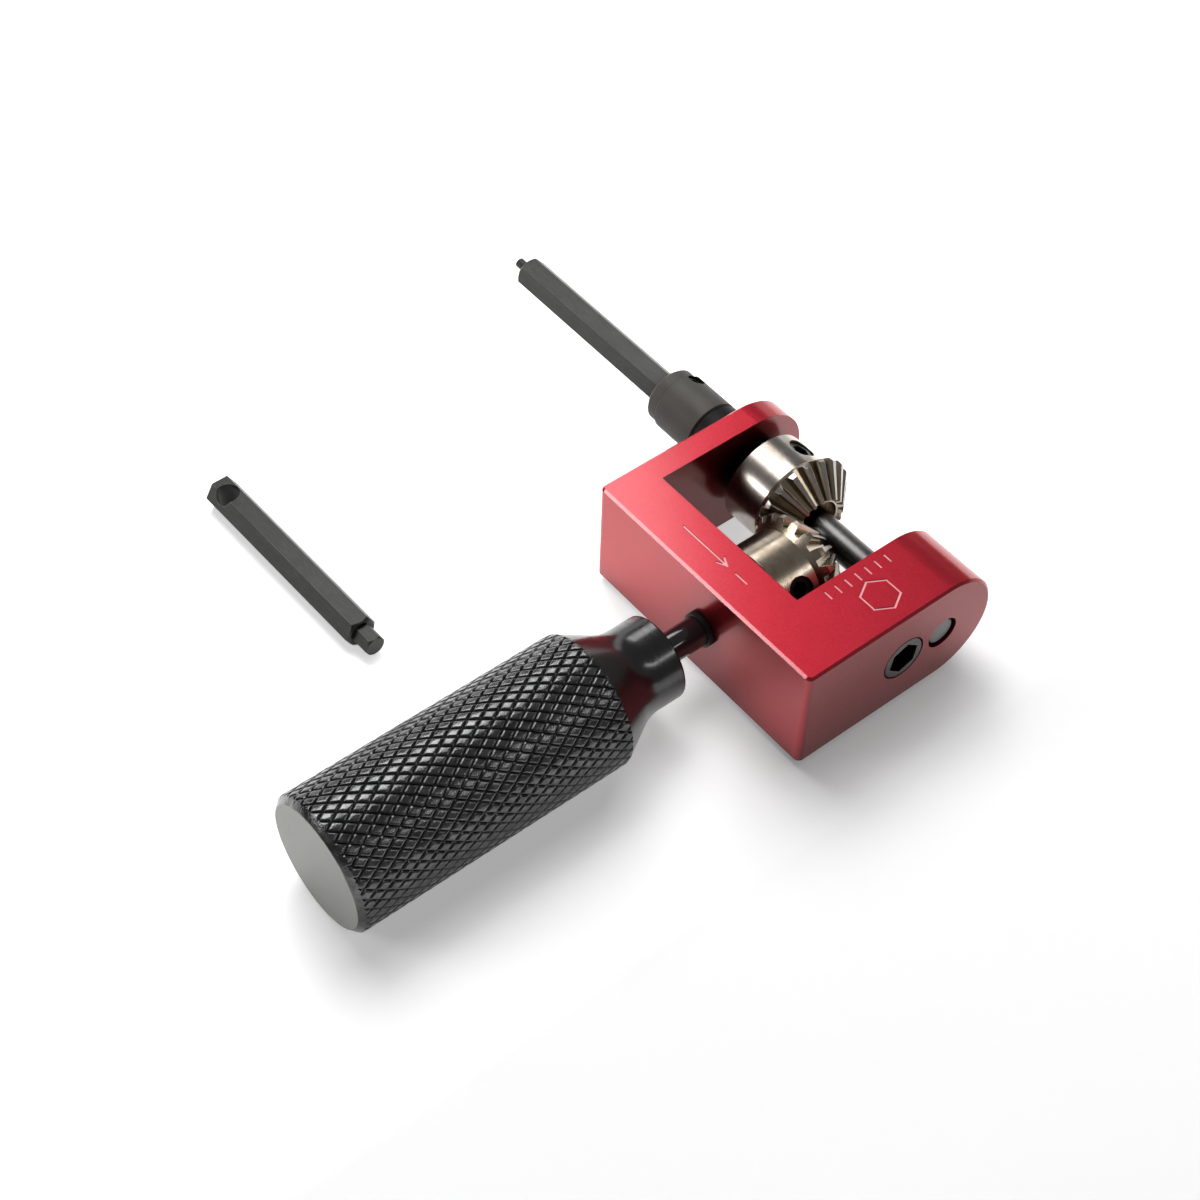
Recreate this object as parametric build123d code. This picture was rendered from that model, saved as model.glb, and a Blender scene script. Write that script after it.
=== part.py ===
from build123d import *
import math
import os

# Right-angle hand driver for bicycle work, with a second bit lying beside it.
# All sizes are in millimetres. The parts are drawn about the crossing of the two shafts:
# the output shaft runs along X with the bit towards -X, the handle runs towards -Y and Z is up.

# Housing: a C-shaped block, thick arm at +X, thin arm at -X, round open ends at +Y
THICKNESS = 20.0
END_RADIUS = THICKNESS / 2
NEAR_X = 23.0
FAR_X = -25.0
BACK_Y = -28.3
WINDOW_NEAR_X = 10.5
WINDOW_FAR_X = -20.5
WINDOW_BACK_Y = -19.5
CORNER_RADIUS = 1.0
EDGE_CHAMFER = 0.4
ENGRAVE_DEPTH = 0.12
ENGRAVE_WIDTH = 0.34

# Shafts and their bushings
SHAFT_R = 2.5
RUNNING_R = SHAFT_R + 0.04
BUSHING_R = 3.5
BUSHING_LIP = 1.2
INPUT_HOLE_R = 2.8
FLANGE_R = 5.5
FLANGE_LENGTH = 1.0
END_GAP = 0.1
SHAFT_END_X = 22.6
SHAFT_HOLE_R = 2.85
NEAR_BUSHING_END_X = 19.5

# Mitre gears
TEETH = 20
MODULE = 0.95
PITCH_R = TEETH * MODULE / 2
ADDENDUM = 0.7
DEDENDUM = 1.14
PRESSURE_ANGLE = 20.0
BACKLASH = 0.14
SMALL_END = 0.5
HUB_R = 8.0
HUB_BACK = -18.4
RECESS_R = 4.1
RECESS_DEPTH = 1.8
OUTSIDE_R = 9.55
TOOTH_PHASE = 16.5
HALF_PITCH = 180.0 / TEETH

# Grub screws in the hubs and the collar
HUB_SCREW_R = 2.2
HUB_SCREW_AT = -14.3
HUB_SCREW_TOP = HUB_R - 0.5
OUTPUT_SCREW_ANGLE = 58.0
INPUT_SCREW_ANGLE = 36.0
COLLAR_SCREW_R = 1.5
COLLAR_SCREW_ANGLE = 58.0

# Handle
GRIP_R = 11.1
GRIP_END_Y = -98.5
GRIP_SHOULDER_Y = -50.9
NECK_START_Y = -43.8
NECK_R = 7.0
NECK_END_Y = -37.2
GRIP_BORE_END_Y = -62.0
INPUT_SHAFT_TIP_Y = -5.0
RING_R = 2.95
RING_LENGTH = 0.8

# Bit collar, spacer and bits
COLLAR_R = 5.2
COLLAR_BAND_R = 4.85
COLLAR_FRONT_X = -41.7
COLLAR_STEP_X = -39.3
COLLAR_REAR_X = -30.5
SOCKET_END_X = -34.8
BIT_FLATS = 5.0
SOCKET_FLATS = 5.08
BIT_ROLL = 11.0
BIT_SHOULDER_X = -79.2
BIT_CHAMFER = 0.5
PIN_R = 0.875
PIN_END_X = -81.9
SPARE_Y = -66.1
SPARE_YAW = 1.3
SPARE_END_X = -75.2
SPARE_SHOULDER_X = -36.5
SPARE_TIP_X = -33.0
SPARE_TIP_FLATS = 3.3
SPARE_HOLE_X = -71.9
SPARE_HOLE_R = 2.0
SPARE_HOLE_ANGLE = -16.0

# Storage socket in the thick arm
STORE_Y = -8.1
STORE_R = 4.0
STORE_DEPTH = 10.0
STORE_FLATS = 5.08
STORE_HEX_DEPTH = 8.0

LOCAL_TO_X = Rot(0, 90, 0)
LOCAL_TO_Y = Rot(-90, 0, 0)
RISE = (Align.CENTER, Align.CENTER, Align.MIN)


def rod(start, end, radius):
    """Cylinder on the Z axis from start to end."""
    return Pos(0, 0, start) * Cylinder(radius, end - start, align=RISE)


def ring(start, end, outer, inner):
    """Plain tube on the Z axis from start to end."""
    return rod(start, end, outer) - rod(start - 1, end + 1, inner)


def turned(points):
    """Solid of revolution about Z from a closed outline of (radius, height) points."""
    outline = Plane.XZ * Polyline(*points, close=True)
    return revolve(make_face(outline), Axis.Z)


def hexagon(start, end, flats, roll=0.0):
    """Hexagonal bar on the Z axis from start to end, with its flats facing +X and -X."""
    section = Pos(0, 0, start) * Rot(0, 0, roll) * RegularPolygon(flats / math.sqrt(3), 6, rotation=30)
    return extrude(section, end - start)


def radial(angle, along, shape):
    """Turns a shape that was drawn on Z so that it stands out of the Z axis at an angle."""
    return Pos(0, 0, along) * Rot(0, 0, angle) * Rot(0, 90, 0) * shape


def grub_screw(inner, outer, radius, flats):
    """Headless screw on Z with a hexagonal socket in its outer end."""
    socket_depth = 0.45 * (outer - inner)
    body = rod(inner, outer, radius)
    body = chamfer(body.edges().sort_by(Axis.Z)[-1], 0.2)
    return body - hexagon(outer - socket_depth, outer + 1, flats)


# Housing
def housing_outline():
    """Side view of the block, seen along X: flat at the back and round at the open end."""
    half = THICKNESS / 2
    back = Polyline((0, half), (BACK_Y, half), (BACK_Y, -half), (0, -half))
    front = ThreePointArc((0, -half), (END_RADIUS, 0), (0, half))
    return make_face(Plane.YZ * (back + front))


def stroke(x0, y0, x1, y1):
    """One engraved line on the top face, as a thin tool body."""
    length = math.hypot(x1 - x0, y1 - y0) + ENGRAVE_WIDTH
    angle = math.degrees(math.atan2(y1 - y0, x1 - x0))
    place = Pos((x0 + x1) / 2, (y0 + y1) / 2, THICKNESS / 2 - ENGRAVE_DEPTH) * Rot(0, 0, angle)
    return place * Box(length, ENGRAVE_WIDTH, 1, align=RISE)


def engraving():
    """Turning arrow and dash on the back wall, and a plain hexagon mark on the thick arm."""
    arrow_y = -23.3
    tip_x = -0.9
    barb = 1.5
    marks = [
        stroke(-10.9, arrow_y, tip_x, arrow_y),
        stroke(tip_x, arrow_y, tip_x - barb, arrow_y + barb / 2),
        stroke(tip_x, arrow_y, tip_x - barb, arrow_y - barb / 2),
        stroke(1.1, arrow_y, 3.5, arrow_y),
    ]
    mark_x, mark_y, mark_r = 17.2, -9.0, 3.1
    corners = []
    for k in range(7):
        turn = math.radians(60 * k)
        corners.append((mark_x + mark_r * math.cos(turn), mark_y + mark_r * math.sin(turn)))
    for first, second in zip(corners, corners[1:]):
        marks.append(stroke(*first, *second))
    for k in range(7):
        tick_y = -15.2 + 2.0 * k
        marks.append(stroke(11.9, tick_y, 13.3, tick_y))
    return marks


def outer_edge(edge):
    """True on the edges round the two end faces and along the back face."""
    centre = edge.center()
    on_end = abs(centre.X - NEAR_X) < 0.01 or abs(centre.X - FAR_X) < 0.01
    on_back = abs(centre.Y - BACK_Y) < 0.01 and abs(abs(centre.Z) - THICKNESS / 2) < 0.01
    on_corner = centre.Y < BACK_Y + CORNER_RADIUS and abs(abs(centre.Z) - THICKNESS / 2) < 0.01
    return on_end or on_back or on_corner


def housing_block():
    block = Pos(FAR_X, 0, 0) * extrude(housing_outline(), NEAR_X - FAR_X)
    upright = block.edges().filter_by(Axis.Z).filter_by(lambda edge: edge.center().Y < BACK_Y + 0.01)
    block = fillet(upright, CORNER_RADIUS)
    block = chamfer(block.edges().filter_by(outer_edge), EDGE_CHAMFER)
    window_size = (WINDOW_NEAR_X - WINDOW_FAR_X, 60, THICKNESS + 2)
    window = Box(*window_size, align=(Align.MIN, Align.MIN, Align.CENTER))
    block -= Pos(WINDOW_FAR_X, WINDOW_BACK_Y, 0) * window
    block -= LOCAL_TO_Y * rod(BACK_Y - 1, WINDOW_BACK_Y + 1, INPUT_HOLE_R)
    block -= LOCAL_TO_Y * rod(BACK_Y + BUSHING_LIP, WINDOW_BACK_Y + 1, BUSHING_R)
    block -= LOCAL_TO_X * rod(FAR_X - 1, WINDOW_FAR_X + 1, BUSHING_R)
    block -= LOCAL_TO_X * rod(WINDOW_NEAR_X - 1, NEAR_BUSHING_END_X, BUSHING_R)
    block -= LOCAL_TO_X * rod(NEAR_BUSHING_END_X - 1, NEAR_X + 1, SHAFT_HOLE_R)
    block -= Pos(0, STORE_Y, 0) * LOCAL_TO_X * rod(NEAR_X - STORE_DEPTH, NEAR_X + 1, STORE_R)
    for mark in engraving():
        block -= mark
    return block


def input_bushing():
    return LOCAL_TO_Y * ring(BACK_Y + BUSHING_LIP, WINDOW_BACK_Y, BUSHING_R, RUNNING_R)


def far_arm_bushing():
    flange = ring(WINDOW_FAR_X, WINDOW_FAR_X + FLANGE_LENGTH, FLANGE_R, RUNNING_R)
    return LOCAL_TO_X * (ring(FAR_X, WINDOW_FAR_X, BUSHING_R, RUNNING_R) + flange)


def near_arm_bushing():
    return LOCAL_TO_X * ring(WINDOW_NEAR_X, NEAR_BUSHING_END_X, BUSHING_R, RUNNING_R)


def storage_socket():
    bottom = NEAR_X - STORE_DEPTH
    body = rod(bottom, NEAR_X, STORE_R)
    body = chamfer(body.edges().sort_by(Axis.Z)[-1], 0.35)
    body -= hexagon(NEAR_X - STORE_HEX_DEPTH, NEAR_X + 1, STORE_FLATS, roll=20)
    return Pos(0, STORE_Y, 0) * LOCAL_TO_X * body


# Gears
def flank_point(slant):
    """Half tooth angle in degrees and end-plane radius of a flank point.

    slant is the point's distance from the back cone's own apex, along that cone.
    """
    cone = math.radians(45)
    virtual_r = PITCH_R / math.cos(cone)
    base_r = virtual_r * math.cos(math.radians(PRESSURE_ANGLE))
    pitch_roll = math.tan(math.radians(PRESSURE_ANGLE)) - math.radians(PRESSURE_ANGLE)
    pressure = math.acos(min(1.0, base_r / slant))
    roll = math.tan(pressure) - pressure
    half_thickness = (math.pi * MODULE - BACKLASH) / (4 * virtual_r)
    half_angle = (half_thickness + pitch_roll - roll) / math.cos(cone)
    radius = slant * math.sin(cone)
    depth = 2 * PITCH_R - slant * math.cos(cone)
    return math.degrees(half_angle), PITCH_R * radius / depth


def tooth_outline(phase):
    """Outline of all the teeth where the pitch cone reaches its full radius."""
    virtual_r = PITCH_R / math.cos(math.radians(45))
    base_r = virtual_r * math.cos(math.radians(PRESSURE_ANGLE))
    slants = [virtual_r - DEDENDUM, base_r, virtual_r, virtual_r + ADDENDUM]
    flank = [flank_point(slant) for slant in slants]
    points = []
    for k in range(TEETH):
        centre = phase + 2 * HALF_PITCH * k
        for half_angle, radius in flank:
            turn = math.radians(centre - half_angle)
            points.append((radius * math.cos(turn), radius * math.sin(turn)))
        for half_angle, radius in reversed(flank):
            turn = math.radians(centre + half_angle)
            points.append((radius * math.cos(turn), radius * math.sin(turn)))
    return points


def cone_section(points, height):
    """Face at a height below the apex, with the outline scaled to keep it on the cone."""
    share = height / PITCH_R
    scaled = [(x * share, y * share) for x, y in points]
    return Pos(0, 0, -height) * make_face(Polyline(*scaled, close=True))


def mitre_gear(phase):
    """Bevel gear with 45-degree pitch cone, apex at the origin and hub towards -Z."""
    hub_join = 2 * PITCH_R - HUB_R
    points = tooth_outline(phase)
    teeth = loft([cone_section(points, hub_join + 0.5), cone_section(points, 3.0)], ruled=True)
    reach = ADDENDUM * math.cos(math.radians(45)) + 0.6
    front = PITCH_R * SMALL_END
    root = DEDENDUM * math.cos(math.radians(45)) * SMALL_END + 0.1
    trim = turned([
        (0, -hub_join),
        (HUB_R, -hub_join),
        (OUTSIDE_R, OUTSIDE_R - 2 * PITCH_R),
        (OUTSIDE_R, 2 * reach - OUTSIDE_R),
        (front + reach, -front + reach),
        (front - root, -front - root),
        (0, -front - root),
    ])
    hub = rod(HUB_BACK, -hub_join, HUB_R)
    hub = chamfer(hub.edges().sort_by(Axis.Z)[0], 0.4)
    body = (teeth & trim) + hub
    body -= rod(-front - root - RECESS_DEPTH, 1, RECESS_R)
    return body - rod(HUB_BACK - 1, 1, SHAFT_R)


def hub_screw_hole(angle):
    return radial(angle, HUB_SCREW_AT, rod(0, HUB_R + 1, HUB_SCREW_R))


def hub_screw(angle):
    return radial(angle, HUB_SCREW_AT, grub_screw(SHAFT_R, HUB_SCREW_TOP, HUB_SCREW_R, 2.5))


# Seen along X, an angle from +Y towards +Z; seen along Y, an angle from +X towards +Z.
OUTPUT_SCREW_TURN = 90 + OUTPUT_SCREW_ANGLE
INPUT_SCREW_TURN = -INPUT_SCREW_ANGLE


def output_gear():
    return LOCAL_TO_X * (mitre_gear(90 + TOOTH_PHASE) - hub_screw_hole(OUTPUT_SCREW_TURN))


def output_gear_screw():
    return LOCAL_TO_X * hub_screw(OUTPUT_SCREW_TURN)


def input_gear():
    return LOCAL_TO_Y * (mitre_gear(-(TOOTH_PHASE + HALF_PITCH)) - hub_screw_hole(INPUT_SCREW_TURN))


def input_gear_screw():
    return LOCAL_TO_Y * hub_screw(INPUT_SCREW_TURN)


# Input side
def grip():
    profile = [
        (0, GRIP_END_Y),
        (GRIP_R - 1.0, GRIP_END_Y),
        (GRIP_R, GRIP_END_Y + 1.0),
        (GRIP_R, GRIP_SHOULDER_Y),
        (NECK_R, NECK_START_Y),
        (NECK_R, NECK_END_Y - 0.4),
        (NECK_R - 0.4, NECK_END_Y),
        (0, NECK_END_Y),
    ]
    return LOCAL_TO_Y * (turned(profile) - rod(GRIP_BORE_END_Y, NECK_END_Y + 1, SHAFT_R))


def input_shaft():
    body = rod(GRIP_BORE_END_Y, INPUT_SHAFT_TIP_Y, SHAFT_R)
    return LOCAL_TO_Y * chamfer(body.edges().sort_by(Axis.Z)[-1], 0.3)


def input_retaining_ring():
    outside = BACK_Y - END_GAP
    return LOCAL_TO_Y * ring(outside - RING_LENGTH, outside, RING_R, SHAFT_R)


def input_thrust_washer():
    return LOCAL_TO_Y * ring(WINDOW_BACK_Y + END_GAP, HUB_BACK, FLANGE_R, SHAFT_R)


# Output side
def output_shaft():
    body = rod(SOCKET_END_X + END_GAP, SHAFT_END_X, SHAFT_R)
    return LOCAL_TO_X * chamfer(body.edges().sort_by(Axis.Z)[-1], 0.25)


def output_thrust_washer():
    start = WINDOW_FAR_X + FLANGE_LENGTH + END_GAP
    return LOCAL_TO_X * ring(start, HUB_BACK, FLANGE_R, SHAFT_R)


def collar_spacer():
    body = turned([
        (SHAFT_R, COLLAR_REAR_X),
        (COLLAR_R - 0.3, COLLAR_REAR_X),
        (COLLAR_R - 0.3, COLLAR_REAR_X + 0.3),
        (COLLAR_R, COLLAR_REAR_X + 0.5),
        (COLLAR_R, FAR_X - END_GAP),
        (SHAFT_R, FAR_X - END_GAP),
    ])
    return LOCAL_TO_X * body


def bit_collar():
    body = turned([
        (0, COLLAR_FRONT_X),
        (COLLAR_BAND_R - 0.6, COLLAR_FRONT_X),
        (COLLAR_BAND_R, COLLAR_FRONT_X + 0.6),
        (COLLAR_BAND_R, COLLAR_STEP_X),
        (COLLAR_R, COLLAR_STEP_X + 0.35),
        (COLLAR_R, COLLAR_REAR_X - 0.3),
        (COLLAR_R - 0.3, COLLAR_REAR_X),
        (0, COLLAR_REAR_X),
    ])
    body -= rod(SOCKET_END_X, COLLAR_REAR_X + 1, SHAFT_R)
    body -= hexagon(COLLAR_FRONT_X - 1, SOCKET_END_X, SOCKET_FLATS, roll=BIT_ROLL)
    for angle, along, _ in COLLAR_SCREWS.values():
        body -= radial(angle, along, rod(0, COLLAR_R + 1, COLLAR_SCREW_R))
    return LOCAL_TO_X * body


# Each collar screw's turn, its place along X and how near the axis it reaches.
# The first stands at the bit, clear of the bit's corners; the second bears on the shaft.
COLLAR_SCREWS = {
    "collar_bit_screw": (90 + COLLAR_SCREW_ANGLE, -38.0, BIT_FLATS / math.sqrt(3) + 0.02),
    "collar_shaft_screw": (270 + COLLAR_SCREW_ANGLE, -32.8, SHAFT_R),
}


def collar_screw(name):
    angle, along, inner = COLLAR_SCREWS[name]
    screw = grub_screw(inner, COLLAR_BAND_R - 0.35, COLLAR_SCREW_R, 1.5)
    return LOCAL_TO_X * radial(angle, along, screw)


# Bits
def chamfered_hexagon(start, end, flats, size, roll=0.0):
    """Hexagonal bar whose corners are turned down to a cone at its start."""
    corner = flats / math.sqrt(3)
    cone = turned([
        (0, start),
        (corner - size, start),
        (corner + 0.1, start + size + 0.1),
        (corner + 0.1, end),
        (0, end),
    ])
    return hexagon(start, end, flats, roll) & cone


def driver_bit():
    shank = chamfered_hexagon(BIT_SHOULDER_X, SOCKET_END_X, BIT_FLATS, BIT_CHAMFER, BIT_ROLL)
    pin = rod(PIN_END_X, BIT_SHOULDER_X + 0.5, PIN_R)
    return LOCAL_TO_X * (shank + pin)


def spare_bit():
    """Drawn with its tip at -Z and then turned end for end to lie with the tip towards +X."""
    shank = chamfered_hexagon(-SPARE_SHOULDER_X, -SPARE_END_X, BIT_FLATS, 0.6)
    tip = chamfered_hexagon(-SPARE_TIP_X, -SPARE_SHOULDER_X + 0.5, SPARE_TIP_FLATS, 0.3)
    cross_hole = radial(SPARE_HOLE_ANGLE, -SPARE_HOLE_X, rod(-4, 4, SPARE_HOLE_R))
    body = shank + tip - cross_hole
    floor = -GRIP_R
    middle = (SPARE_END_X + SPARE_TIP_X) / 2
    lying = Pos(-middle, 0, 0) * Rot(0, -90, 0) * body
    return Pos(middle, SPARE_Y, floor + BIT_FLATS / 2) * Rot(0, 0, SPARE_YAW) * lying


PARTS = {
    "housing_block": housing_block(),
    "input_bushing": input_bushing(),
    "far_arm_bushing": far_arm_bushing(),
    "near_arm_bushing": near_arm_bushing(),
    "storage_socket": storage_socket(),
    "grip": grip(),
    "input_shaft": input_shaft(),
    "input_retaining_ring": input_retaining_ring(),
    "input_thrust_washer": input_thrust_washer(),
    "input_gear": input_gear(),
    "input_gear_screw": input_gear_screw(),
    "output_shaft": output_shaft(),
    "output_thrust_washer": output_thrust_washer(),
    "output_gear": output_gear(),
    "output_gear_screw": output_gear_screw(),
    "collar_spacer": collar_spacer(),
    "bit_collar": bit_collar(),
    "collar_bit_screw": collar_screw("collar_bit_screw"),
    "collar_shaft_screw": collar_screw("collar_shaft_screw"),
    "driver_bit": driver_bit(),
    "spare_bit": spare_bit(),
}

# The finished tool lies on Z = 0 with the middle of its footprint at the origin.
TO_FLOOR = Pos(-(PIN_END_X + NEAR_X) / 2, -(GRIP_END_Y + END_RADIUS) / 2, GRIP_R)

os.makedirs("parts", exist_ok=True)
for name, part in PARTS.items():
    export_step(TO_FLOOR * part, f"parts/{name}.step")
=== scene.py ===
import math

import bmesh
import bpy
from mathutils import Matrix, Vector


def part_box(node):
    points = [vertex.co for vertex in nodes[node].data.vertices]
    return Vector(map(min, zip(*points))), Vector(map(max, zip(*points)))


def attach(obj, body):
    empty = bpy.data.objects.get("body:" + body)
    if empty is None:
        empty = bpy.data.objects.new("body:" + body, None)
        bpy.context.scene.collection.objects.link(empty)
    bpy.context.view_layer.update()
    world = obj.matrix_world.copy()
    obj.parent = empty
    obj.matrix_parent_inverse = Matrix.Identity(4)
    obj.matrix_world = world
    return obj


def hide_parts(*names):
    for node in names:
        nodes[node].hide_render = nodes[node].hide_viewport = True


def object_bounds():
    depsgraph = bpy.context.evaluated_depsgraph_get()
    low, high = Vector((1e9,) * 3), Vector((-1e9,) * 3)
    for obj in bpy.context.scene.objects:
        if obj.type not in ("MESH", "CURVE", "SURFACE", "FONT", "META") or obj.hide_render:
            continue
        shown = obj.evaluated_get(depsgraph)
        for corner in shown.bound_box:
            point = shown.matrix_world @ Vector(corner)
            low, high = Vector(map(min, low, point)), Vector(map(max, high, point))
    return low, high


# Right-angle hand driver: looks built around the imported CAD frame.
# Blender works in metres. Sizes of pieces are named in millimetres and scaled by MM.

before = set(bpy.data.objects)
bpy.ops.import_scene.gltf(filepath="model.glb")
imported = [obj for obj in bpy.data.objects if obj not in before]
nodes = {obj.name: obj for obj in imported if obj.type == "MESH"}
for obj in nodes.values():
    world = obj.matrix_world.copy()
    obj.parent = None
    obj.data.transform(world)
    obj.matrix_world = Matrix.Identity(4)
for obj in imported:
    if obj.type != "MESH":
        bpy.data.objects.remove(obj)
cad_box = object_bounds()

MM = 0.001


# Places read from the frame
def middle(node):
    low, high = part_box(node)
    return (low + high) / 2


shaft_cross = Vector((middle("input_shaft").x, middle("output_shaft").y, middle("output_shaft").z))
ALONG_Y = Matrix.Translation(shaft_cross) @ Matrix.Rotation(math.radians(-90), 4, "X")


# Mesh tools
def softened(corners, steps):
    """Outline with each (along, radius, setback) corner turned into a curve of that setback."""
    outline = []
    for k, (along, radius, setback) in enumerate(corners):
        here = Vector((along, radius))
        if not setback:
            outline.append(here)
            continue
        before = Vector(corners[k - 1][:2])
        after = Vector(corners[(k + 1) % len(corners)][:2])
        start = here + (before - here).normalized() * setback
        end = here + (after - here).normalized() * setback
        for step in range(steps + 1):
            t = step / steps
            outline.append(start * (1 - t) ** 2 + here * 2 * t * (1 - t) + end * t**2)
    return outline


def join_rings(bm, rings, closed):
    """Faces between neighbouring rings of vertices; a ring of one vertex is a pole."""
    pairs = list(zip(rings, rings[1:]))
    if closed:
        pairs.append((rings[-1], rings[0]))
    for low, high in pairs:
        count = max(len(low), len(high))
        for k in range(count):
            corners = [low[k % len(low)], low[(k + 1) % len(low)]]
            corners += [high[(k + 1) % len(high)], high[k % len(high)]]
            bm.faces.new(list(dict.fromkeys(corners)))


def revolved(outline, segments):
    """Closed bmesh turned about Z from (along, radius) points in millimetres."""
    bm = bmesh.new()
    rings = []
    for along, radius in outline:
        if radius < 1e-6:
            rings.append([bm.verts.new((0, 0, along))])
            continue
        ring = []
        for k in range(segments):
            turn = 2 * math.pi * k / segments
            ring.append(bm.verts.new((radius * math.cos(turn), radius * math.sin(turn), along)))
        rings.append(ring)
    join_rings(bm, rings, closed=len(rings[0]) > 1)
    bmesh.ops.recalc_face_normals(bm, faces=bm.faces)
    return bm


def to_object(name, bm, place):
    """Object of that name from a bmesh in millimetres, put in place in metres."""
    bm.transform(place @ Matrix.Scale(MM, 4))
    mesh = bpy.data.meshes.new(name)
    bm.to_mesh(mesh)
    bm.free()
    obj = bpy.data.objects.new(name, mesh)
    bpy.context.scene.collection.objects.link(obj)
    return obj


def shade(obj, sharp_degrees=38):
    """Smooth shading that breaks at sharp edges and keeps flat faces flat."""
    obj.data.shade_smooth()
    obj.data.set_sharp_from_angle(angle=math.radians(sharp_degrees))
    weighted = obj.modifiers.new("weighted", "WEIGHTED_NORMAL")
    weighted.keep_sharp = True
    return obj


def apply_modifier(obj, modifier):
    """Applies one modifier, leaving its result as the object's own mesh."""
    graph = bpy.context.evaluated_depsgraph_get()
    mesh = bpy.data.meshes.new_from_object(obj.evaluated_get(graph))
    obj.modifiers.remove(modifier)
    obj.data = mesh


def cut(obj, tool, operation):
    """Boolean of a closed mesh with a tool mesh, which is then removed."""
    boolean = obj.modifiers.new("cut", "BOOLEAN")
    boolean.operation = operation
    boolean.solver = "MANIFOLD"
    boolean.object = tool
    apply_modifier(obj, boolean)
    bpy.data.objects.remove(tool)
    return obj


# Material tools
def shader_of(finish):
    return finish.node_tree.nodes["Principled BSDF"]


def tune(finish, **sockets):
    """Sets constants on the shader's own sockets; an underscore in a name stands for a space."""
    for name, value in sockets.items():
        shader_of(finish).inputs[name.replace("_", " ")].default_value = value


def new_finish(name, **sockets):
    """New material, with constants set on its Principled shader's own sockets."""
    finish = bpy.data.materials.new(name)
    finish.use_nodes = True
    tune(finish, **sockets)
    return finish


def link(finish, source, target):
    finish.node_tree.links.new(source, target)


def add(finish, kind, **inputs):
    """New node; inputs whose value is a socket are linked and others are set."""
    node = finish.node_tree.nodes.new(kind)
    for name, value in inputs.items():
        socket = node.inputs[name.replace("_", " ")]
        if isinstance(value, bpy.types.NodeSocket):
            link(finish, value, socket)
        else:
            socket.default_value = value
    return node


def noise(finish, size_mm, detail=3.0, stretch=(1, 1, 1), rough=0.55):
    """Noise value whose features are about size_mm across, drawn out by stretch along X, Y and Z."""
    place = add(finish, "ShaderNodeTexCoord").outputs["Object"]
    scale = [1 / s for s in stretch]
    mapped = add(finish, "ShaderNodeMapping", Vector=place, Scale=scale).outputs["Vector"]
    texture = add(finish, "ShaderNodeTexNoise", Vector=mapped, Scale=1 / (size_mm * MM), Detail=detail)
    texture.inputs["Roughness"].default_value = rough
    return texture.outputs["Fac"]


def spread(finish, value, low, high, start=0.3, end=0.7):
    """Maps a value from start..end onto low..high, held at its ends."""
    ranged = add(finish, "ShaderNodeMapRange", Value=value)
    ranged.inputs["From Min"].default_value = start
    ranged.inputs["From Max"].default_value = end
    ranged.inputs["To Min"].default_value = low
    ranged.inputs["To Max"].default_value = high
    return ranged.outputs["Result"]


def product(finish, first, second):
    """Product of two value sockets."""
    multiply = finish.node_tree.nodes.new("ShaderNodeMath")
    multiply.operation = "MULTIPLY"
    link(finish, first, multiply.inputs[0])
    link(finish, second, multiply.inputs[1])
    return multiply.outputs["Value"]


def blend_colour(finish, factor, first, second):
    """Colour between two colours or colour sockets."""
    mix = finish.node_tree.nodes.new("ShaderNodeMix")
    mix.data_type = "RGBA"
    link(finish, factor, mix.inputs["Factor"])
    for socket, value in zip((mix.inputs[6], mix.inputs[7]), (first, second)):
        if isinstance(value, bpy.types.NodeSocket):
            link(finish, value, socket)
        else:
            socket.default_value = (*value, 1)
    return mix.outputs[2]


def rounded_normal(finish, radius_mm):
    """Normal that turns smoothly over edges as if they were rounded by radius_mm."""
    bevel = add(finish, "ShaderNodeBevel", Radius=radius_mm * MM)
    bevel.samples = 6
    return bevel.outputs["Normal"]


def worn_edge(finish, radius_mm):
    """1 on edges and 0 on open faces, from how far a rounded normal leans from the true one."""
    true_normal = add(finish, "ShaderNodeNewGeometry").outputs["Normal"]
    dot = finish.node_tree.nodes.new("ShaderNodeVectorMath")
    dot.operation = "DOT_PRODUCT"
    link(finish, rounded_normal(finish, radius_mm), dot.inputs[0])
    link(finish, true_normal, dot.inputs[1])
    return spread(finish, dot.outputs["Value"], 1.0, 0.0, 0.75, 0.98)


def rough_up(finish, height, strength, depth_mm, soften_mm=0.0):
    """Bump from a height value, over edges that are rounded by soften_mm."""
    bump = add(finish, "ShaderNodeBump", Height=height, Strength=strength, Distance=depth_mm * MM)
    if soften_mm:
        link(finish, rounded_normal(finish, soften_mm), bump.inputs["Normal"])
    link(finish, bump.outputs["Normal"], shader_of(finish).inputs["Normal"])


def colour_from(finish, socket):
    link(finish, socket, shader_of(finish).inputs["Base Color"])


def roughness_from(finish, socket):
    link(finish, socket, shader_of(finish).inputs["Roughness"])


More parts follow.
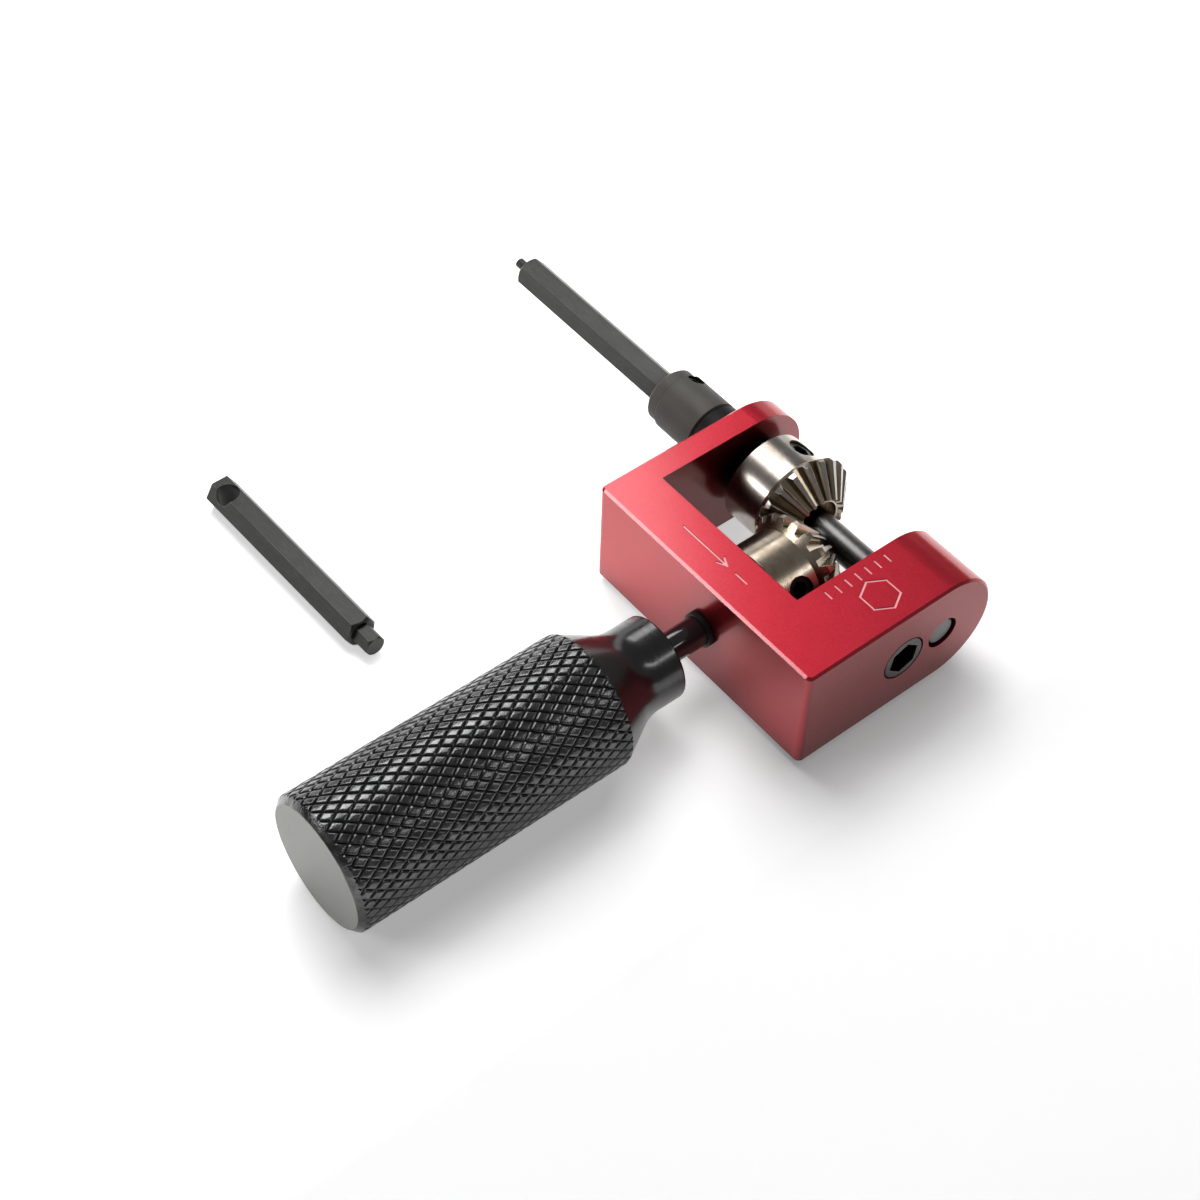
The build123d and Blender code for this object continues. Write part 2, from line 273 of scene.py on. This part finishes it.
# Finishes
def engraved_mask(finish):
    """1 on the bottoms of the marks cut in the block's flat top, and 0 elsewhere.

    They face up, lie between 0.05 and 0.2 mm under the top and stop short of the round ends.
    """
    place = add(finish, "ShaderNodeTexCoord").outputs["Object"]
    parts = add(finish, "ShaderNodeSeparateXYZ", Vector=place)
    facing = add(finish, "ShaderNodeNewGeometry").outputs["True Normal"]
    upward = add(finish, "ShaderNodeSeparateXYZ", Vector=facing).outputs["Z"]
    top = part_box("housing_block")[1].z
    below = spread(finish, parts.outputs["Z"], 1, 0, top - 0.06 * MM, top - 0.05 * MM)
    above = spread(finish, parts.outputs["Z"], 0, 1, top - 0.21 * MM, top - 0.20 * MM)
    round_y = shaft_cross.y - 0.4 * MM
    before_round = spread(finish, parts.outputs["Y"], 1, 0, round_y - 0.1 * MM, round_y)
    flat = spread(finish, upward, 0, 1, 0.94, 0.95)
    return product(finish, product(finish, below, above), product(finish, before_round, flat))


def openness(finish, distance_mm):
    """0 in deep corners and 1 on open faces, judged by what lies within distance_mm."""
    shade_node = add(finish, "ShaderNodeAmbientOcclusion", Distance=distance_mm * MM)
    shade_node.samples = 8
    return shade_node.outputs["AO"]


def red_anodised():
    """Blasted and dyed aluminium with pale engraved marks, with painted shade on its end faces, back face
    and round ends and in its deep corners.
    """
    finish = new_finish("red_anodised", Coat_Weight=0.85, Coat_Roughness=0.16, Coat_IOR=1.6)
    tune(finish, Specular_Tint=(1.0, 0.22, 0.28, 1))
    deep_red, light_red = (0.54, 0.013, 0.031), (0.70, 0.027, 0.054)
    speck_red, cloud_red = (0.90, 0.07, 0.10), (0.52, 0.010, 0.025)
    # end_face_shade_red and side_face_shade_red are painted shade: darker red for the +X end faces, the
    # back face and the round ends
    end_face_shade_red, side_face_shade_red = (0.17, 0.006, 0.010), (0.20, 0.006, 0.012)
    # corner_shade_red is painted shade for deep corners; mark_pink is the engraved marks' own colour
    corner_shade_red, mark_pink = (0.05, 0.002, 0.004), (0.86, 0.36, 0.38)

    grain = noise(finish, 0.30, detail=5, rough=0.7)
    speck = noise(finish, 0.11, detail=2)
    cloud = noise(finish, 6.0, detail=2)
    base = blend_colour(finish, spread(finish, grain, 0, 1), deep_red, light_red)
    specked = blend_colour(finish, spread(finish, speck, 0, 0.5, 0.6, 0.8), base, speck_red)
    clouded = blend_colour(finish, spread(finish, cloud, 0, 0.35), specked, cloud_red)

    facing = add(finish, "ShaderNodeNewGeometry").outputs["Normal"]
    sides = add(finish, "ShaderNodeSeparateXYZ", Vector=facing)
    # Painted shade by facing: end faces, back face and round ends are darkened towards end_face_shade_red
    # and side_face_shade_red
    end_face_unshaded = spread(finish, sides.outputs["X"], 1, 0, 0.3, 0.95)
    back_face_unshaded = spread(finish, sides.outputs["Y"], 0.4, 1, -0.95, -0.3)
    round_end_unshaded = spread(finish, sides.outputs["Y"], 1, 0.3, 0.25, 0.6)
    with_end_face_shade = blend_colour(finish, end_face_unshaded, end_face_shade_red, clouded)
    with_side_shade = blend_colour(finish, product(finish, back_face_unshaded, round_end_unshaded), side_face_shade_red, with_end_face_shade)

    # Painted shade: corners closed in within 14 mm are darkened towards corner_shade_red
    unshaded_share = spread(finish, openness(finish, 14.0), 0, 1, 0.25, 0.75)
    shaded = blend_colour(finish, unshaded_share, corner_shade_red, with_side_shade)
    engraved = engraved_mask(finish)
    colour_from(finish, blend_colour(finish, engraved, shaded, mark_pink))
    link(finish, spread(finish, engraved, 0.92, 0.1, 0, 1), shader_of(finish).inputs["Metallic"])
    roughness_from(finish, spread(finish, grain, 0.34, 0.46))
    rough_up(finish, grain, 0.35, 0.006, soften_mm=0.18)
    return finish


def black_grip():
    """Blackened metal of the knurl, rubbed bright on its ridges, with painted shade in its grooves and on
    its low side.
    """
    finish = new_finish("black_grip", Metallic=1.0)
    dark_grey, light_grey = (0.090, 0.090, 0.091), (0.205, 0.205, 0.207)
    rubbed_grey = (0.34, 0.34, 0.345)
    # groove_shade_black and low_side_shade_black are painted shade, for the grooves and for the grip's low
    # side
    groove_shade_black, low_side_shade_black = (0.012, 0.012, 0.012), (0.008, 0.008, 0.008)

    grain = noise(finish, 0.28, detail=4, rough=0.65)
    patch = noise(finish, 1.5, detail=2)
    base = blend_colour(finish, spread(finish, patch, 0, 1), dark_grey, light_grey)
    rubbed = blend_colour(finish, worn_edge(finish, 0.10), base, rubbed_grey)
    # Painted shade: the grooves, closed in within 0.7 mm, are darkened towards groove_shade_black
    unshaded_share = spread(finish, openness(finish, 0.7), 0, 1, 0.35, 0.85)
    with_groove_shade = blend_colour(finish, unshaded_share, groove_shade_black, rubbed)
    # Painted shade: the low side, closed in by the floor within 30 mm, is darkened towards
    # low_side_shade_black
    lit_share = spread(finish, openness(finish, 30.0), 0.1, 1, 0.70, 0.98)
    colour_from(finish, blend_colour(finish, lit_share, low_side_shade_black, with_groove_shade))
    roughness_from(finish, spread(finish, patch, 0.14, 0.24))
    rough_up(finish, grain, 0.8, 0.03)
    return finish


def smooth_black():
    """Glossy black of the grip's cone and neck, with fine turning marks."""
    finish = new_finish("smooth_black", Metallic=0.0, IOR=1.75)
    turned = noise(finish, 0.25, detail=3, stretch=(40, 1, 40))
    patch = noise(finish, 3.0, detail=3)
    base = blend_colour(finish, spread(finish, patch, 0, 1), (0.003, 0.003, 0.003), (0.006, 0.005, 0.005))
    colour_from(finish, base)
    roughness_from(finish, spread(finish, turned, 0.14, 0.26))
    rough_up(finish, turned, 0.6, 0.006)
    return finish


def turned_face():
    """Bare faced-off end of the grip, with fine rings about the handle's axis."""
    finish = new_finish("turned_face", Metallic=0.75, IOR=1.5)
    dark_ring, light_ring, cloud_grey = (0.187, 0.191, 0.175), (0.23, 0.235, 0.215), (0.18, 0.184, 0.172)

    place = add(finish, "ShaderNodeTexCoord").outputs["Object"]
    flat_place = add(finish, "ShaderNodeMapping", Vector=place, Scale=(1, 0, 1)).outputs["Vector"]
    from_axis = add(finish, "ShaderNodeVectorMath")
    from_axis.operation = "DISTANCE"
    link(finish, flat_place, from_axis.inputs[0])
    from_axis.inputs[1].default_value = (shaft_cross.x, 0, shaft_cross.z)
    scaled = add(finish, "ShaderNodeMath")
    scaled.operation = "MULTIPLY"
    link(finish, from_axis.outputs["Value"], scaled.inputs[0])
    scaled.inputs[1].default_value = 1 / (2.5 * MM)
    rings = add(finish, "ShaderNodeTexNoise", Scale=9.0, Detail=3.0)
    rings.noise_dimensions = "1D"
    link(finish, scaled.outputs["Value"], rings.inputs["W"])
    ring_value = rings.outputs["Fac"]

    cloud = noise(finish, 3.0)
    base = blend_colour(finish, spread(finish, ring_value, 0, 1), dark_ring, light_ring)
    colour_from(finish, blend_colour(finish, spread(finish, cloud, 0, 0.4), base, cloud_grey))
    roughness_from(finish, spread(finish, ring_value, 0.38, 0.5))
    rough_up(finish, ring_value, 0.3, 0.004)
    return finish


def polished_black():
    """Polished black of the input shaft."""
    finish = new_finish("polished_black", Metallic=0.0, IOR=1.6, Coat_Weight=0.3, Coat_Roughness=0.05)
    turned = noise(finish, 0.2, detail=3, stretch=(60, 1, 60))
    patch = noise(finish, 2.5)
    base = blend_colour(finish, spread(finish, patch, 0, 1), (0.006, 0.006, 0.007), (0.012, 0.012, 0.013))
    colour_from(finish, base)
    roughness_from(finish, spread(finish, turned, 0.06, 0.14))
    rough_up(finish, turned, 0.9, 0.008, soften_mm=0.1)
    return finish


def gear_steel(name, stretch, dark, bright, tarnish_share):
    """Turned gear steel with brown tarnish and bright edges, with painted shade: browner between the teeth
    and black in deep corners.
    """
    finish = new_finish(name, Metallic=1.0)
    # tarnish_brown is the steel's own tarnish; valley_shade_brown is painted shade between the teeth
    tarnish_brown, valley_shade_brown = (0.33, 0.24, 0.15), (0.42, 0.35, 0.26)
    # edge_white is wear on the edges; corner_shade_black is painted shade for deep corners
    edge_white, corner_shade_black = (0.80, 0.76, 0.70), (0.02, 0.015, 0.012)

    turned = noise(finish, 0.12, detail=3, stretch=stretch)
    tarnish = noise(finish, 4.0, detail=3)
    base = blend_colour(finish, spread(finish, turned, 0, 1), dark, bright)
    tarnished = spread(finish, tarnish, 0, tarnish_share, 0.42, 0.72)
    browned = blend_colour(finish, tarnished, base, tarnish_brown)
    edged = blend_colour(finish, worn_edge(finish, 0.10), browned, edge_white)
    # Painted shade: between the teeth, closed in within 1.6 mm, the colour goes towards valley_shade_brown
    valley_shade = spread(finish, openness(finish, 1.6), 1, 0, 0.75, 1.0)
    with_valley_shade = blend_colour(finish, valley_shade, edged, valley_shade_brown)
    # Painted shade: the deepest corners, closed in within 2.5 mm, go towards corner_shade_black
    unshaded_share = spread(finish, openness(finish, 2.5), 0, 1, 0.04, 0.24)
    colour_from(finish, blend_colour(finish, unshaded_share, corner_shade_black, with_valley_shade))
    roughness_from(finish, spread(finish, tarnish, 0.18, 0.28))
    rough_up(finish, turned, 0.08, 0.003, soften_mm=0.08)
    return finish


def plain_metal(name, dark, light, rough, size_mm, stretch=(1, 1, 1), metallic=1.0, edge=None, depth=0.005):
    """Metal with grain drawn out along a direction, brighter edges and uneven gloss, with painted shade on
    its low sides and in its recesses.
    """
    finish = new_finish(name, Metallic=metallic)
    # shade_black is painted shade, for the low sides and the recesses
    shade_black = (0.004, 0.004, 0.004)
    grain = noise(finish, size_mm, detail=4, stretch=stretch)
    patch = noise(finish, 3.0, detail=3)
    base = blend_colour(finish, spread(finish, grain, 0, 1), dark, light)
    uneven = blend_colour(finish, spread(finish, patch, 0, 0.5), base, dark)
    if edge:
        uneven = blend_colour(finish, worn_edge(finish, 0.16), uneven, edge)
    # Painted shade: low sides, closed in by the floor within 30 mm, are darkened towards shade_black
    lit_share = spread(finish, openness(finish, 30.0), 0.35, 1, 0.55, 0.9)
    with_low_side_shade = blend_colour(finish, lit_share, shade_black, uneven)
    # Painted shade: recesses, closed in within 3 mm, are darkened towards shade_black
    unshaded_share = spread(finish, openness(finish, 3.0), 0, 1, 0.5, 0.92)
    colour_from(finish, blend_colour(finish, unshaded_share, shade_black, with_low_side_shade))
    roughness_from(finish, spread(finish, grain, rough - 0.06, rough + 0.06))
    rough_up(finish, grain, 0.4, depth, soften_mm=0.12)
    return finish


# Stretch of a grain that runs round an axis, by that axis
TURNED_X = (1, 40, 40)
TURNED_Y = (40, 1, 40)

FINISHES = {
    "red": red_anodised(),
    "grip": black_grip(),
    "smooth": smooth_black(),
    "face": turned_face(),
    "polished": polished_black(),
    "gear_x": gear_steel("gear_steel_x", TURNED_X, (0.46, 0.42, 0.39), (0.60, 0.56, 0.53), 0.5),
    "gear_y": gear_steel("gear_steel_y", TURNED_Y, (0.44, 0.37, 0.29), (0.60, 0.53, 0.44), 0.9),
    "bronze": plain_metal("bushing_bronze", (0.30, 0.19, 0.10), (0.45, 0.30, 0.16), 0.45, 0.2),
    "socket": plain_metal(
        "socket_steel", (0.10, 0.09, 0.085), (0.22, 0.20, 0.19), 0.36, 0.2, TURNED_X, edge=(0.4, 0.36, 0.34)
    ),
    "washer": plain_metal("washer_steel", (0.40, 0.39, 0.37), (0.55, 0.54, 0.52), 0.3, 0.2),
    "screw": plain_metal(
        "screw_black", (0.012, 0.012, 0.012), (0.03, 0.03, 0.03), 0.28, 0.2,
        metallic=0.4, edge=(0.12, 0.12, 0.12)
    ),
    "shaft": plain_metal(
        "shaft_steel", (0.21, 0.205, 0.20), (0.31, 0.305, 0.30), 0.34, 0.15, TURNED_X, depth=0.003
    ),
    "ring": plain_metal(
        "ring_black", (0.004, 0.004, 0.004), (0.008, 0.008, 0.008), 0.55, 0.2, metallic=0.3
    ),
    "spacer": plain_metal(
        "spacer_black", (0.003, 0.003, 0.003), (0.008, 0.008, 0.008), 0.5, 0.2, TURNED_X, metallic=0.6
    ),
    "oxide": plain_metal(
        "black_oxide", (0.058, 0.055, 0.048), (0.100, 0.095, 0.083), 0.55, 0.14, metallic=0.4,
        edge=(0.14, 0.135, 0.12), depth=0.010
    ),
    "bit": plain_metal(
        "bit_steel", (0.030, 0.030, 0.028), (0.060, 0.061, 0.058), 0.38, 0.25, (6, 1, 1), metallic=0.6,
        edge=(0.26, 0.255, 0.24), depth=0.008
    ),
}


def paint(obj, *names):
    obj.data.materials.clear()
    for name in names:
        obj.data.materials.append(FINISHES[name])


CAD_FINISHES = {
    "housing_block": "red",
    "input_bushing": "bronze",
    "far_arm_bushing": "bronze",
    "near_arm_bushing": "bronze",
    "storage_socket": "socket",
    "input_shaft": "polished",
    "input_retaining_ring": "ring",
    "input_thrust_washer": "washer",
    "input_gear": "gear_y",
    "input_gear_screw": "screw",
    "output_shaft": "shaft",
    "output_thrust_washer": "washer",
    "output_gear": "gear_x",
    "output_gear_screw": "screw",
    "collar_spacer": "spacer",
    "bit_collar": "oxide",
    "collar_bit_screw": "screw",
    "collar_shaft_screw": "screw",
    "driver_bit": "bit",
    "spare_bit": "bit",
}
for node_name, finish_name in CAD_FINISHES.items():
    paint(nodes[node_name], finish_name)


# Grip: knurled bar cut to the handle's turned outline, sized in millimetres
# Each of the two groove families has its number of starts round the bar, signed by its hand,
# and the starts that it gains in each millimetre along the bar.
STARTS = (34, -37)
RISE_PER_MM = (0.294, 0.389)
GROOVE_DEPTH = 0.25
GROOVE_HALF_WIDTH = 0.29
LIP_AT = 0.85
TOP_AT = 1.35
LIP_DEPTH = 0.12
GRIP_CHAMFER = 1.0
KNURL_LENGTH = 47.6
CONE_LENGTH = 7.1
NECK_R = 7.0
SHAFT_R = 2.5
BORE_CLEARANCE = 0.03
BORE_CHAMFER = 0.6
BORE_LENGTH = 24.8
GRIP_SEGMENTS = 288
INSIDE_CAD = 0.005


def groove_samples(pitch):
    """Shares of one pitch at which a cell is sampled: groove bottom, lip, top and lip again."""
    lip = LIP_AT * GROOVE_HALF_WIDTH / pitch
    top = TOP_AT * GROOVE_HALF_WIDTH / pitch
    return [0, lip, top, 0.5, 1 - top, 1 - lip]


def groove_depth(share, pitch):
    """Depth at a share of one pitch: a straight flank up to the lip, then a rounder shoulder."""
    distance = min(share, 1 - share) * pitch / GROOVE_HALF_WIDTH
    if distance >= TOP_AT:
        return 0.0
    if distance >= LIP_AT:
        return GROOVE_DEPTH * LIP_DEPTH * (TOP_AT - distance) / (TOP_AT - LIP_AT)
    return GROOVE_DEPTH * (1 - distance / LIP_AT * (1 - LIP_DEPTH))


def knurled_bar(radius, start, end):
    """Closed bar about Z with two crossing families of helical grooves from start to end."""
    (starts_a, starts_b), (rise_a, rise_b) = STARTS, RISE_PER_MM
    turn_a, turn_b = (s / (2 * math.pi * radius) for s in STARTS)
    pitch_a, pitch_b = 1 / math.hypot(turn_a, rise_a), 1 / math.hypot(turn_b, rise_b)
    samples_a, samples_b = groove_samples(pitch_a), groove_samples(pitch_b)
    per_mm = rise_b * starts_a - rise_a * starts_b
    bm = bmesh.new()
    made = {}

    def lattice_vertex(cell_a, index_a, cell_b, index_b):
        """Vertex at a sample of a cell; a whole turn changes both cells by their starts."""
        cell_a, index_a = cell_a + index_a // len(samples_a), index_a % len(samples_a)
        cell_b, index_b = cell_b + index_b // len(samples_b), index_b % len(samples_b)
        laps = cell_a // starts_a
        key = (cell_a - laps * starts_a, index_a, cell_b - laps * starts_b, index_b)
        if key in made:
            return made[key]
        share_a, share_b = samples_a[index_a], samples_b[index_b]
        a, b = key[0] + share_a, key[2] + share_b
        along = (starts_a * b - starts_b * a) / per_mm
        turn = 2 * math.pi * (a - rise_a * along) / starts_a
        depth = max(groove_depth(share_a, pitch_a), groove_depth(share_b, pitch_b))
        r = radius - depth
        made[key] = bm.verts.new((r * math.cos(turn), r * math.sin(turn), along))
        return made[key]

    for cell_a in range(starts_a):
        # along = (starts_a b - starts_b a) / per_mm, so b runs over these cells
        first = math.floor((start * per_mm + starts_b * cell_a) / starts_a) - 2
        last = math.ceil((end * per_mm + starts_b * (cell_a + 1)) / starts_a) + 2
        for cell_b in range(first, last):
            for i in range(len(samples_a)):
                for j in range(len(samples_b)):
                    corners = [(i, j), (i + 1, j), (i + 1, j + 1), (i, j + 1)]
                    bm.faces.new([lattice_vertex(cell_a, p, cell_b, q) for p, q in corners])
    for along, side in ((start, -1), (end, 1)):
        geometry = bm.verts[:] + bm.edges[:] + bm.faces[:]
        bmesh.ops.bisect_plane(
            bm, geom=geometry, dist=1e-5, plane_co=(0, 0, along), plane_no=(0, 0, side), clear_outer=True
        )
        rim = [e for e in bm.edges if e.is_boundary and abs(e.verts[0].co.z - along) < 1e-3]
        bmesh.ops.holes_fill(bm, edges=rim)
    bmesh.ops.recalc_face_normals(bm, faces=bm.faces)
    return bm


def make_grip():
    low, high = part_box("grip")
    radius = (high.x - low.x) / MM / 2 - INSIDE_CAD
    end = (low.y - shaft_cross.y) / MM
    neck_end = (high.y - shaft_cross.y) / MM
    shoulder = end + KNURL_LENGTH
    corners = [
        (end, 0, 0),
        (end, radius - GRIP_CHAMFER, 0.15),
        (end + GRIP_CHAMFER, radius, 0.12),
        (shoulder, radius, 0.3),
        (shoulder + CONE_LENGTH, NECK_R, 2.2),
        (neck_end, NECK_R, 0.45),
        (neck_end, SHAFT_R + BORE_CHAMFER, 0.2),
        (neck_end - BORE_CHAMFER, SHAFT_R + BORE_CLEARANCE, 0),
        (neck_end - BORE_LENGTH, SHAFT_R + BORE_CLEARANCE, 0),
        (neck_end - BORE_LENGTH, 0, 0),
    ]
    turned = to_object("grip_outline", revolved(softened(corners, 6), GRIP_SEGMENTS), ALONG_Y)
    grip = to_object("grip_knurled", knurled_bar(radius, end - 1, neck_end + 1), ALONG_Y)
    cut(grip, turned, "INTERSECT")
    paint(grip, "grip", "smooth", "face")
    smooth_from = low.y + (KNURL_LENGTH + 0.45) * MM
    for face in grip.data.polygons:
        centre = face.center
        if centre.y > smooth_from:
            face.material_index = 1
        elif abs(face.normal.y) > 0.99 and centre.y < low.y + 0.1 * MM:
            face.material_index = 2
    shade(grip)
    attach(grip, "handle")
    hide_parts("grip")


make_grip()


# Floor, light and camera
def make_floor():
    """Pale floor, with a soft glow towards -X that keeps it white under the bits and the grip."""
    bpy.ops.mesh.primitive_plane_add(size=6, location=(0, 0, 0))
    floor = bpy.context.object
    floor.name = "floor"
    finish = new_finish("pale_floor", Specular_IOR_Level=0.2)
    grain = noise(finish, 40.0)
    colour_from(finish, blend_colour(finish, grain, (0.88, 0.88, 0.88), (0.90, 0.90, 0.90)))
    tune(finish, Roughness=0.8, Emission_Color=(1, 1, 1, 1))
    place = add(finish, "ShaderNodeTexCoord").outputs["Object"]
    across = add(finish, "ShaderNodeSeparateXYZ", Vector=place).outputs["X"]
    glow = spread(finish, across, 0.50, 0.03, shaft_cross.x - 10 * MM, shaft_cross.x + 35 * MM)
    link(finish, glow, shader_of(finish).inputs["Emission Strength"])
    floor.data.materials.append(finish)


def soft_light(name, place_mm, size, radiance, turn=0.0, glossy=True):
    """Rectangular light at a place given from the shaft crossing, facing the tool.

    size is across and along the way to the light, and turn rolls it about its own axis.
    """
    data = bpy.data.lights.new(name, "AREA")
    data.shape = "RECTANGLE"
    data.size, data.size_y = size
    data.energy = math.pi * size[0] * size[1] * radiance
    lamp = bpy.data.objects.new(name, data)
    place = Vector(place_mm) * MM
    facing = place.to_track_quat("Z", "Y").to_matrix().to_4x4()
    roll = Matrix.Rotation(math.radians(turn), 4, "Z")
    lamp.matrix_world = Matrix.Translation(shaft_cross + place) @ facing @ roll
    lamp.visible_glossy = glossy
    bpy.context.scene.collection.objects.link(lamp)


VIEW_AZIMUTH = 49.47
VIEW_ELEVATION = 49.88
VIEW_ROLL = 2.22
VIEW_DISTANCE = 0.3592
VIEW_LENS = 69.0
AIM_OFFSET = Vector((11.6, 10.8, -6.5)) * MM


def make_camera():
    """Camera looking at a point near the middle of the tool, from the photograph's angle."""
    low, high = (Vector(corner) for corner in cad_box)
    target = (low + high) / 2 + AIM_OFFSET
    azimuth, elevation, roll = (math.radians(a) for a in (VIEW_AZIMUTH, VIEW_ELEVATION, VIEW_ROLL))
    back = Vector((
        math.sin(azimuth) * math.cos(elevation),
        -math.cos(azimuth) * math.cos(elevation),
        math.sin(elevation),
    ))
    right = Vector((math.cos(azimuth), math.sin(azimuth), 0))
    up = back.cross(right)
    rolled_right = right * math.cos(roll) + up * math.sin(roll)
    rolled_up = up * math.cos(roll) - right * math.sin(roll)
    turn = Matrix((rolled_right, rolled_up, back)).transposed()
    data = bpy.data.cameras.new("camera")
    data.lens = VIEW_LENS
    data.sensor_width = 36
    data.clip_start = 0.01
    camera = bpy.data.objects.new("camera", data)
    camera.matrix_world = Matrix.Translation(target + back * VIEW_DISTANCE) @ turn.to_4x4()
    bpy.context.scene.collection.objects.link(camera)
    bpy.context.scene.camera = camera


def make_world():
    world = bpy.data.worlds.new("studio")
    world.use_nodes = True
    background = world.node_tree.nodes["Background"]
    background.inputs["Color"].default_value = (1, 1, 1, 1)
    background.inputs["Strength"].default_value = 0.15
    bpy.context.scene.world = world


make_floor()
make_world()
make_camera()
soft_light("softbox", (-229, 5, 404), (0.242, 0.23), 4.2)
soft_light("softbox_end", (-351, 225, 404), (0.07, 0.22), 4.5, turn=10)
soft_light("strip", (434, 294, 462), (0.4, 0.06), 4.5)
soft_light("back_wall", (-880, 420, 200), (1.5, 0.45), 0.8)
soft_light("low_front", (-392, -608, 344), (0.3, 0.08), 14.0)
soft_light("fill", (-420, 360, 1056), (1.0, 1.0), 3.8, glossy=False)
bpy.context.scene.view_settings.view_transform = "Standard"
